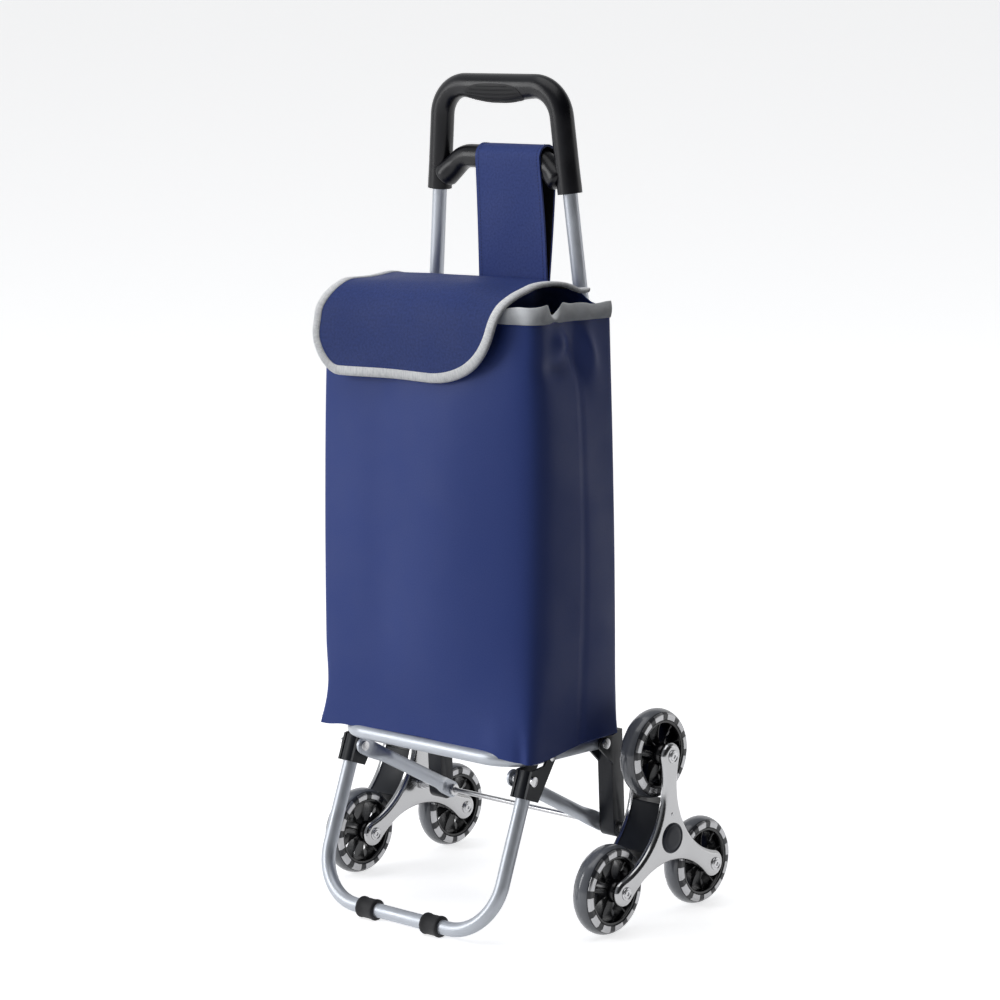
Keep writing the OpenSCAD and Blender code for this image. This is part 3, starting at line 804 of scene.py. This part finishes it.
def strap_line():
    """(y, z) middle line of the strap from its front foot over the hook bar to its back foot."""
    y, z = leaning(0, 0, HOOK_H)[1:]
    y, z = y / MM - AXLE_Y, z / MM
    mid_r = HOOK_R + 0.3 + STRAP_T / 2
    foot = span("hanging_strap", 2)[0] + 2
    up = shares(FOOT_STEPS)
    line = [(mix(-46.3, y - mid_r, t), mix(foot, z, t)) for t in up[:-1]]
    over = [pi * i / ARCH_STEPS for i in range(ARCH_STEPS + 1)]
    line += [(y - mid_r * cos(a), z + mid_r * sin(a)) for a in over]
    line += [(mix(y + mid_r, -43.0, t), mix(z, foot, t)) for t in up[1:]]
    return line


def line_normals(line):
    points = np.array(line, float)
    run = np.gradient(points, axis=0)
    run /= np.linalg.norm(run, axis=1)[:, None]
    return np.stack([-run[:, 1], run[:, 0]], axis=1)


def line_lengths(line):
    steps = np.linalg.norm(np.diff(np.array(line, float), axis=0), axis=1)
    return np.concatenate([[0.0], np.cumsum(steps)])


def make_strap():
    x0, x1 = span("hanging_strap", 0)
    line = strap_line()
    normals, lengths = line_normals(line), line_lengths(line)
    total, bar = lengths[-1], lengths[FOOT_STEPS + ARCH_STEPS // 2]

    def point(i, u, off):
        """Strap surface at station i and share u of its width, off its middle line."""
        y, z = line[i]
        free = sin(pi * min(lengths[i] / 150, 1)) if lengths[i] < 150 else 0.0
        back = sin(pi * min((total - lengths[i]) / 150, 1)) if total - lengths[i] < 150 else 0.0
        sag = 1.1 * sin(4.2 * u + 0.6) * free + 1.4 * sin(5 * u) * back
        hem = 0.35 * (hump(u, 0.0, 0.04) + hump(u, 1.0, 0.04))
        off = off + copysign(hem, off) + sag
        pull = 1.2 * free * (2 * u - 1)
        narrow = 6.0 * u * hump(lengths[i], bar, 70)
        x = mix(x0, x1, u) - pull - narrow
        return at(x, y + normals[i][0] * off, z + normals[i][1] * off)

    strap = lined_sheet(point, lambda i: (x0, x1), lengths, 24, STRAP_T)
    obj = strap.piece("strap_loop", "frame", "woven_fabric", ["hanging_strap"], ["strap_fabric", "lining"])
    stitches = Shape()
    for u in (0.045, 0.955):
        distance = 6.0
        while distance < total - 6:
            add_stitch(stitches, lambda s, off, u=u: strap_at(point, lengths, s, u, off), distance, 2.2, 0.3)
            distance += 3.3
    stitches.piece("strap_stitching", "frame", "woven_fabric", materials=["thread"])
    return obj, (x1 - x0) * MM, total * MM


def lined_sheet(point, sides, stops, columns, thick):
    """A sheet through point(i, u, off) at each stop i, with a second material underneath."""
    across = shares(columns)
    rings = []
    for i in range(len(stops)):
        under = [point(i, u, -thick / 2) for u in reversed(across)]
        rings.append([point(i, u, thick / 2) for u in across] + under)

    def uv(i, j):
        j = j if j <= columns else 2 * columns + 1 - j
        return (mix(*sides(i), j / columns) * MM, stops[i] * MM)

    sheet, width = Shape(rings, uv=uv), len(rings[0])
    for index in range((len(stops) - 1) * width):
        if index % width > columns:
            sheet.marks[index] = 1
    return sheet


def strap_at(point, lengths, s, u, off):
    i = min(int(np.searchsorted(lengths, s)), len(lengths) - 1)
    a = np.array(point(max(i - 1, 0), u, off))
    b = np.array(point(i, u, off))
    base = lengths[max(i - 1, 0)]
    gap = max(lengths[i] - base, 1e-6)
    return a + (b - a) * (s - base) / gap


def add_stitch(shape, surface, start, length, radius):
    """One thread lying on a surface(s, off) along s."""
    points = [np.array(surface(start + length * i / 4, STRAP_T / 2 + 0.15)) for i in range(5)]
    run = points[-1] - points[0]
    run /= np.linalg.norm(run)
    out = np.array(surface(start, STRAP_T / 2 + 1)) - np.array(surface(start, STRAP_T / 2))
    out /= np.linalg.norm(out)
    aside = np.cross(run, out)
    rings = []
    for i, p in enumerate(points):
        r = radius * MM * (0.35 if i in (0, 4) else 1.0)
        dip = out * MM * (-0.25 if i in (0, 4) else 0.0)
        rings.append([p + dip + r * (cos(a) * out + 1.2 * sin(a) * aside) for a in circle(6)])
    shape.rings(rings)


# ---------------------------------------------------------------- bag

BAG_LOW = 207
WALL_TOP = 672
SHELL_T = 1.6
BACK_HIGH_Y = -42
COUNTS = {"front": 60, "right": 44, "back": 44, "left": 44}


def bag_corners(t):
    """(x, y) of the bag's corners at a share t of its height, from the front left round to the back left."""
    right_x = flow(((0, 151), (0.12, 154), (0.5, 158), (1, 153)), t)
    left_x = flow(((0, 157), (0.06, 149.5), (0.2, 151.5), (0.5, 154.5), (0.85, 153.5), (1, 151)), t)
    front_right = (right_x, flow(((0, -170), (0.5, -164), (1, -160)), t))
    front_left = (-left_x, flow(((0, -172), (0.5, -167), (1, -163)), t))
    back_x, back_y = flow(((0, 150), (0.5, 151), (1, 148)), t), mix(-18, -30, t)
    return front_left, front_right, (back_x, back_y), (-back_x, back_y)


def front_bulge(x, t):
    """How far the front panel stands out in front of the straight line between its seams."""
    u = x / 150
    body = max(1 - abs(u) ** 3.2, 0)
    depth = curve(((0, 1.5), (0.2, 6), (0.6, 10), (0.9, 6), (1, 4)), t)
    right = 11 * (1 - abs((u - 0.35) / 0.75) ** 2) * curve(((0, 0), (0.3, 1), (0.75, 1), (1, 0.35)), t)
    folds = 1.3 * sin(3.1 * u + 5.2 * t) * sin(pi * t)
    folds += 1.0 * sin(7.3 * u - 3.0 * t + 1.0) * sin(pi * t) ** 2
    slope = -2.5 * hump(u, 0.62, 0.2) * hump(t, 0.72, 0.16)
    return (depth + max(right, 0) + folds + slope) * body


def front_detail(x, t):
    """Small folds of the front panel: gathers under the channel and creases at its lower right corner."""
    u = x / 150
    body = max(1 - abs(u) ** 3.2, 0)
    gather = 1.4 * sin(24 * u + 0.7) * ease(0.86, 1.0, t) * (0.4 + 0.6 * ease(0.1, 0.9, u))
    corner = -3.0 * hump(u, 0.93, 0.05) * hump(t, 0.0, 0.05) + 2.5 * hump(u, 0.72, 0.12) * hump(t, 0.03, 0.04)
    return gather * body + corner


def side_bulge(u, t, sign):
    """How far a side panel stands out; u runs from the front seam to the back seam."""
    body = 1 - abs(2 * u - 1) ** 3
    depth = curve(((0, 1.0), (0.3, 3.0), (0.7, 1.0), (1, -4)), t)
    tuck = -8.0 * hump(u, 0.45, 0.16) * ease(0.78, 1.0, t)
    waves = 1.1 * sin(6 * u + 7 * t + sign) * sin(pi * t)
    return (depth + tuck + waves) * body


def side_detail(u, t, sign):
    """Small folds of a side panel: its seam, a crescent near the back and a pouch under the pucker."""
    seam = -2.4 * hump(u, 0.575, 0.015) * curve(((0, 1), (0.85, 1), (1, 0.4)), t)
    bend = u - 0.9 * (0.93 - t)
    crescent = 6.0 * hump(bend, 0.72, 0.07) * hump(t, 0.925, 0.045)
    crescent -= 4.0 * hump(bend, 0.56, 0.07) * hump(t, 0.9, 0.05)
    pouch = 7.0 * hump(u, 0.34, 0.1) * hump(t, 0.945, 0.032)
    pouch -= 5.0 * hump(u, 0.26, 0.15) * hump(t, 0.893, 0.022)
    return seam + crescent + (pouch if sign > 0 else 0.0)


def back_dip(x, t):
    """How far the back panel is pressed forward between the uprights."""
    tube_x = mix(129, 106, t)
    return 12 * t * (1 - ease(tube_x + 12, tube_x + 32, abs(x)))


def bag_droop(x, y, t):
    """How far the wall's lower edge hangs below the bag's floor."""
    front = ease(-60, -165, y)
    edge = curve(((-1, 7), (-0.8, 3.6), (-0.4, 0.6), (0, 0), (0.35, 2.2), (0.7, 6.0), (1, 9)), x / 150)
    rear = mix(-1.5, edge, front)
    return rear * (1 - ease(0.0, 0.10, t))


def bag_ring(t, inset=0.0):
    """Outline of the bag at a share t of its height, as places (x, y, z) and lengths round it."""
    corners = [np.array(c, float) for c in bag_corners(t)]
    fl, fr, br, bl = corners
    points, details = [], []
    runs = (("front", fl, fr), ("right", fr, br), ("back", br, bl), ("left", bl, fl))
    for name, a, b in runs:
        n = COUNTS[name]
        out = np.array([(b - a)[1], -(b - a)[0]])
        out /= np.linalg.norm(out)
        for i in range(n):
            u = i / n - 0.35 * sin(2 * pi * i / n) / (2 * pi)
            p = a + (b - a) * u
            bulge = detail = 0.0
            if name == "front":
                bulge, detail = front_bulge(p[0], t), front_detail(p[0], t)
            elif name == "back":
                bulge = -back_dip(p[0], t)
            else:
                sign, u = (1, u) if name == "right" else (-1, 1 - u)
                bulge, detail = side_bulge(u, t, sign), side_detail(u, t, sign)
            points.append(p + out * bulge)
            details.append(detail)
    points = soften(np.array(points), 3, ease(0, 0.1, t))
    near = np.exp(-(((np.arange(len(points)) - COUNTS["front"]) / 18) ** 2))
    points = soften(points, 100, near * (0.3 + 0.7 * ease(0.0, 0.35, t)))
    points = shrink(points, inset - np.array(details)[:, None])
    height = mix(BAG_LOW, WALL_TOP, t)
    return [(x, y, height - bag_droop(x, y, t)) for x, y in points]


def soften(points, times, share):
    """Rounds a closed outline by averaging neighbours, each point by its share."""
    share = np.ones(len(points)) * share
    for _ in range(times):
        mean = (np.roll(points, 1, 0) + np.roll(points, -1, 0)) / 2
        points = points + 0.5 * share[:, None] * (mean - points)
    return points


def shrink(points, amount):
    """Moves a closed outline inwards."""
    run = np.roll(points, -1, 0) - np.roll(points, 1, 0)
    run /= np.linalg.norm(run, axis=1)[:, None]
    return points + amount * np.stack([-run[:, 1], run[:, 0]], axis=1)


def bag_levels():
    """Shares of the wall's height, closer together near both ends."""
    rows = 72
    return [0.5 - 0.5 * cos(pi * i / rows) for i in range(rows + 1)]


def make_bag():
    levels = bag_levels()
    outer = [bag_ring(t) for t in levels]
    inner = [bag_ring(t, SHELL_T) for t in levels]
    width = len(outer[0])
    around = [i * 0.0061 for i in range(width + 1)]
    bag = Shape()

    def uv(i, j):
        return (around[j], levels[min(i, len(levels) - 1)] * 0.465)

    floor = [flat_ring(outer[0], inset, BAG_LOW - drop) for inset, drop in ((14, 0.5), (6, 1.4))]
    skin = [[at(*p) for p in ring] for ring in floor + outer]
    bag.rings(skin, caps=False, uv=lambda i, j: uv(max(i - 2, 0), j))
    bag.face(list(reversed(range(width))), 0)
    start = len(bag.verts)
    lining = [[at(*p) for p in ring] for ring in inner]
    lining[0] = [at(*p) for p in flat_ring(outer[0], SHELL_T, BAG_LOW + 1.5)]
    bag.rings(lining, caps=False, mark=1, uv=uv)
    bag.face([start + j for j in range(width)], 1)
    top_out = start - width
    top_in = len(bag.verts) - width
    for j in range(width):
        k = (j + 1) % width
        bag.face([top_out + j, top_out + k, top_in + k, top_in + j], 0)
    panels = ["bag_front_panel", "bag_back_panel", "bag_side_left", "bag_side_right", "bag_bottom_panel"]
    return bag.piece("bag_shell", "frame", "bag_fabric", panels, ["bag_fabric", "lining"], angle=80)


def flat_ring(ring, inset, z):
    points = shrink(np.array([p[:2] for p in ring]), inset)
    return [(x, y, z) for x, y in points]


def make_floor_board():
    """The stiff board in the bottom of the bag, with rounded corners."""
    ring = flat_ring(bag_ring(0.0), 5, 0)
    heights = (208.9, 208.6, 211.8, 212.2)
    rings = [[at(p[0] * 0.985, p[1] * 0.99 - 1, z) for p in ring] for z in heights]
    return Shape(rings).piece("bag_floor", "frame", "board", ["base_board"])


def make_channel():
    """The gathered drawstring channel round the front and sides of the mouth."""
    ring = bag_ring(1.0)
    n_front, n_side, n_back = COUNTS["front"], COUNTS["right"], COUNTS["back"]
    order = list(range(n_front + n_side + n_back, len(ring))) + list(range(0, n_front + n_side))
    base = np.array([ring[i][:2] for i in order])
    base = base[1:]
    run = np.gradient(base, axis=0)
    run /= np.linalg.norm(run, axis=1)[:, None]
    out = np.stack([run[:, 1], -run[:, 0]], axis=1)
    count = len(base)
    pucker = n_side + n_front + 13
    rings = []
    lengths = line_lengths(base)
    for i in range(count):
        s = lengths[i]
        pinch = hump(i, pucker, 2.0)
        ripple = 0.9 * sin(s / 6.1) + 0.7 * sin(s / 3.7 + 1.3)
        wave = 1.1 * sin(s / 11.0 + 0.5) + 0.6 * sin(s / 5.3)
        low = WALL_TOP - 3.0 + 1.5 * pinch
        lips = 2.5 * hump(i, pucker + 5, 3.0) + 2.5 * hump(i, pucker - 5, 3.5)
        covered = ease(114, 98, base[i][0])
        high = WALL_TOP + 15.0 + wave + lips - 9.5 * pinch - 6.0 * covered
        section = []
        for a in circle(20):
            up = 0.5 - 0.5 * cos(a)
            thick = 1.5 + 1.5 * sin(pi * up) + 1.0 * pinch
            side = thick * sin(a) * (0.75 + 0.25 * cos(s / 4.3))
            lean = ripple * up + 0.5 * ripple - 5.0 * pinch * up + 1.2 - 3.0 * covered * up
            section.append(at(*(base[i] + out[i] * (side + lean)), mix(low, high, up)))
        rings.append(section)
    band = Shape(rings, uv=lambda i, j: (lengths[min(i, count - 1)] * MM, j * 0.002))
    return band.piece("channel_band", "frame", "channel_fabric", ["drawstring_channel"], angle=80)


def make_back_edge():
    """The top of the back panel, which carries the flap and the strap."""
    rings = []
    for i in range(41):
        x = mix(-141, 141, i / 40)
        y = BACK_HIGH_Y + 0.4 * sin(x / 19)
        top = 699.5 - 15.0 * ease(108, 141, abs(x))
        low = WALL_TOP - 4
        y_low = y + 0.6
        y -= 4.5 * ease(44, 58, abs(x))
        ring = [at(x, y_low - 1.2, low), at(x, y - 2.6, top - 1), at(x, y - 2.2, top), at(x, y - 1.2, top)]
        ring += [at(x, y - 0.8, top - 1), at(x, y_low + 0.6, low)]
        rings.append(ring)
    edge = Shape(rings, uv=lambda i, j: (i * 0.00732, j * 0.007))
    return edge.piece("bag_back_edge", "frame", "bag_fabric")


# ---------------------------------------------------------------- flap

FLAP_T = 3.0
FLAP_LINE = ((-50, 699.6), (-57, 701.6), (-75, 705.5), (-100, 706), (-128, 705), (-151, 702), (-168, 692),
             (-177, 676), (-180, 655), (-180, 630), (-178, 605))


def flap_profile():
    """A smooth (y, z) line through FLAP_LINE, from the hinge to the free edge, with its lengths."""
    control = np.array(FLAP_LINE, float)
    padded = np.vstack([2 * control[0] - control[1], control, 2 * control[-1] - control[-2]])
    points = []
    for i in range(len(control) - 1):
        p0, p1, p2, p3 = padded[i : i + 4]
        for k in range(10):
            t = k / 10
            points.append(0.5 * (2 * p1 + (p2 - p0) * t + (2 * p0 - 5 * p1 + 4 * p2 - p3) * t**2
                                 + (3 * p1 - p0 - 3 * p2 + p3) * t**3))
    points.append(control[-1])
    points = np.array(points)
    return points, line_lengths(points)


flap_points, flap_lengths = flap_profile()
flap_track = np.hstack([flap_points, -line_normals(flap_points)])
FLAP_LEN = float(flap_lengths[-1])


def corner_cut(s, wide, tall):
    """How far an elliptical corner at the free edge takes the side in at s."""
    over = max(s - (FLAP_LEN - tall), 0) / tall
    return wide * (1 - sqrt(max(1 - over**2, 0)))


def flap_sides(s):
    """Left and right edges of the flap at s from its hinge."""
    right = flow(((0, 134), (14, 131), (34, 121), (60, 117), (95, 119), (118, 119), (133, 116), (150, 112),
                  (170, 107), (FLAP_LEN, 103)), s)
    left = -curve(((0, 141), (30, 138), (70, 134), (110, 136), (150, 148), (FLAP_LEN - 30, 152)), s)
    right -= corner_cut(s, 85, 53)
    left += corner_cut(s, 38, 50)
    return left, right


def flap_at(u, s, off):
    """A place on the flap: u across it from left to right, s from the hinge, off its middle surface."""
    left, right = flap_sides(s)
    x = mix(left, right, u)
    y, z, ny, nz = (float(np.interp(s, flap_lengths, values)) for values in flap_track.T)
    share = s / FLAP_LEN
    lift = 2.0 * sin(2.3 * x / 100 + 0.4) * sin(pi * share)
    lift -= 9.0 * ease(85, 141, x) * hump(share, 0.0, 0.1) + 5.5 * ease(50, 115, x) * hump(share, 0.48, 0.14)
    lift += 3.0 * ease(60, 150, -x) * hump(share, 0.75, 0.22)
    lift -= 4.5 * ease(70, 140, -x) * hump(share, 0.3, 0.2)
    lift += 1.2 * sin(x / 17.0) * ease(0.85, 1.0, share) + 1.2
    off += lift * ease(-4, 16, s)
    lower = (3.0 + 2.5 * ease(40, 150, -x)) * ease(0.75, 1.0, share)
    return at(x, y + ny * off, z + nz * off - lower)


def make_flap():
    rows = 90
    stops = [FLAP_LEN * (1 - (1 - i / rows) ** 1.3) for i in range(rows + 1)]
    stops[-1] = FLAP_LEN - 0.02

    def point(i, u, off):
        return flap_at(u, stops[i], off)

    flap = lined_sheet(point, lambda i: flap_sides(stops[i]), stops, 64, FLAP_T)
    cover = flap.piece("flap_cover", "flap", "woven_fabric", ["flap"], ["woven_fabric", "lining"], angle=60)
    tape = make_tape()
    area = sum((flap_sides(s)[1] - flap_sides(s)[0]) for s in np.linspace(0, FLAP_LEN, 200)) / 200 * FLAP_LEN
    return cover, tape, area * MM * MM


def flap_rim():
    """(u, s) stations down the left edge, along the free edge and up the right edge."""
    down = [FLAP_LEN * sin(a) for a in quarter(60)]
    down[-1] = FLAP_LEN - 0.02
    rim = [(0.0, s) for s in down]
    rim += [(u, FLAP_LEN - 0.02) for u in shares(40)[1:-1]]
    rim += [(1.0, s) for s in reversed(down)]
    return rim


TAPE_W = 10


def make_tape():
    """The grey tape folded round the flap's free edges."""
    rim = flap_rim()
    plain = []
    for u, s in rim:
        left, right = flap_sides(s)
        plain.append((mix(left, right, u), s))
    plain = np.array(plain)
    run = np.gradient(plain, axis=0)
    run /= np.maximum(np.linalg.norm(run, axis=1), 1e-9)[:, None]
    for _ in range(2):
        run[1:-1] = (run[:-2] + 2 * run[1:-1] + run[2:]) / 4
    inward = np.stack([run[:, 1], -run[:, 0]], axis=1)
    inward /= np.linalg.norm(inward, axis=1)[:, None]
    if inward[0, 0] < 0:
        inward = -inward
    upper = ((TAPE_W, 1.55), (TAPE_W - 0.4, 2.3), (4.0, 2.6), (0.6, 2.5), (-0.7, 1.2))
    section = (*upper, (-0.9, 0.0), *((reach, -off) for reach, off in reversed(upper)))
    rings = []
    for (x, s), d in zip(plain, inward):
        ring = []
        for reach, off in section:
            px, ps = x + d[0] * reach, min(max(s + d[1] * reach, 0.0), FLAP_LEN + 3)
            left, right = flap_sides(min(ps, FLAP_LEN - 0.3))
            over = max(ps - FLAP_LEN, 0.0)
            u = (px - left) / max(right - left, 1.0)
            base = np.array(flap_at(u, min(ps, FLAP_LEN - 0.3), off))
            base[2] -= over * MM
            ring.append(tuple(base))
        rings.append(ring)
    lengths = line_lengths(plain)
    tape = Shape(rings, uv=lambda i, j: (lengths[i] * MM, j * 0.0018))
    return tape.piece("flap_tape", "flap", "binding_tape", ["flap_binding"], angle=70)


# ---------------------------------------------------------------- scene


CAMERA_TURN = 41.1


def make_camera():
    camera = bpy.data.cameras.new("camera")
    camera.lens = 108.8
    obj = add_object("camera", camera)
    obj.location = (2.193, -2.512, 0.984)
    obj.rotation_euler = Euler((radians(81), 0, radians(CAMERA_TURN)))
    bpy.context.scene.camera = obj


def add_light(name, place, aim, size, power, colour=(1, 1, 1)):
    light = bpy.data.lights.new(name, "AREA")
    light.shape = "RECTANGLE"
    light.size, light.size_y = size
    light.energy = power
    light.color = colour
    obj = add_object(name, light)
    obj.location = place
    direction = Vector(aim) - Vector(place)
    obj.rotation_euler = direction.to_track_quat("-Z", "Y").to_euler()
    return obj


def make_backdrop():
    """A pale floor that curves up into a wall far behind the object."""
    wide, near, far, bend, high = 16.0, -8.0, 5.0, 2.5, 7.0
    line = [(near, 0.0), (far, 0.0)]
    line += [(far + bend * sin(a), bend - bend * cos(a)) for a in quarter(16)[1:]]
    line += [(far + bend, high)]
    c, q = polar(1, CAMERA_TURN)
    verts = []
    for x in (-wide, wide):
        for y, z in line:
            verts.append((x * c - y * q, x * q + y * c, z))
    n = len(line)
    mesh = bpy.data.meshes.new("floor")
    mesh.from_pydata(verts, [], [(i, i + 1, n + i + 1, n + i) for i in range(n - 1)])
    mesh.materials.append(paint["floor"])
    mesh.shade_smooth()
    floor = add_object("floor", mesh)
    floor.visible_diffuse = False


def make_studio():
    """Soft light from the left front and above, a card only gloss sees, and a world dark on the right."""
    make_backdrop()
    add_light("key", (-2.6, -3.2, 1.7), (0, 0, 0.45), (1.6, 2.4), 62)
    add_light("top", (0.1, -0.5, 3.4), (0, 0, 0), (2.6, 2.6), 30)
    card = add_light("card", (2.6, 3.4, 1.0), (0.1, 0, 0.25), (1.6, 2.2), 14)
    card.visible_diffuse = False
    world = bpy.data.worlds.new("studio")
    bpy.context.scene.world = world
    world.use_nodes = True
    world.node_tree.nodes.clear()
    w = Nodes(world.node_tree)
    place = w.node("ShaderNodeTexCoord").outputs["Generated"]
    across = w.node("ShaderNodeSeparateXYZ", {0: place}).outputs[0]
    fade = {"Value": across, "From Min": -0.8, "From Max": 0.6, "To Min": 0.65, "To Max": 0.03}
    glow = w.node("ShaderNodeMapRange", fade).outputs[0]
    seen = w.node("ShaderNodeLightPath").outputs["Is Camera Ray"]
    glow = w.node("ShaderNodeMath", {0: glow, 1: seen}, operation="MAXIMUM").outputs[0]
    sky = w.node("ShaderNodeBackground", {"Color": (0.93, 0.96, 1.0, 1), "Strength": glow})
    w.node("ShaderNodeOutputWorld", {0: sky.outputs[0]})
    bpy.context.scene.view_settings.view_transform = "Standard"


def fold_with_platform(y, *pieces):
    """Gives each piece of the bag its own copy of its mesh. y is not used."""
    for obj in pieces:
        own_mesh(obj)


make_camera()
make_studio()
dress_frame()
make_spiders()
for side, sign in SIDES:
    make_strut(side, sign)
    make_foot(side, sign)
make_handle()
make_grip_pad()
make_hook_bar()
strap, strap_wide, strap_long = make_strap()
bag = make_bag()
board = make_floor_board()
channel = make_channel()
back_edge = make_back_edge()
flap_cover, flap_tape, flap_area = make_flap()
fold_with_platform(-90, bag, board, channel, back_edge)
fold_with_platform(-95, flap_cover, flap_tape)
min(flap_area, 0.296 * FLAP_LEN * MM)
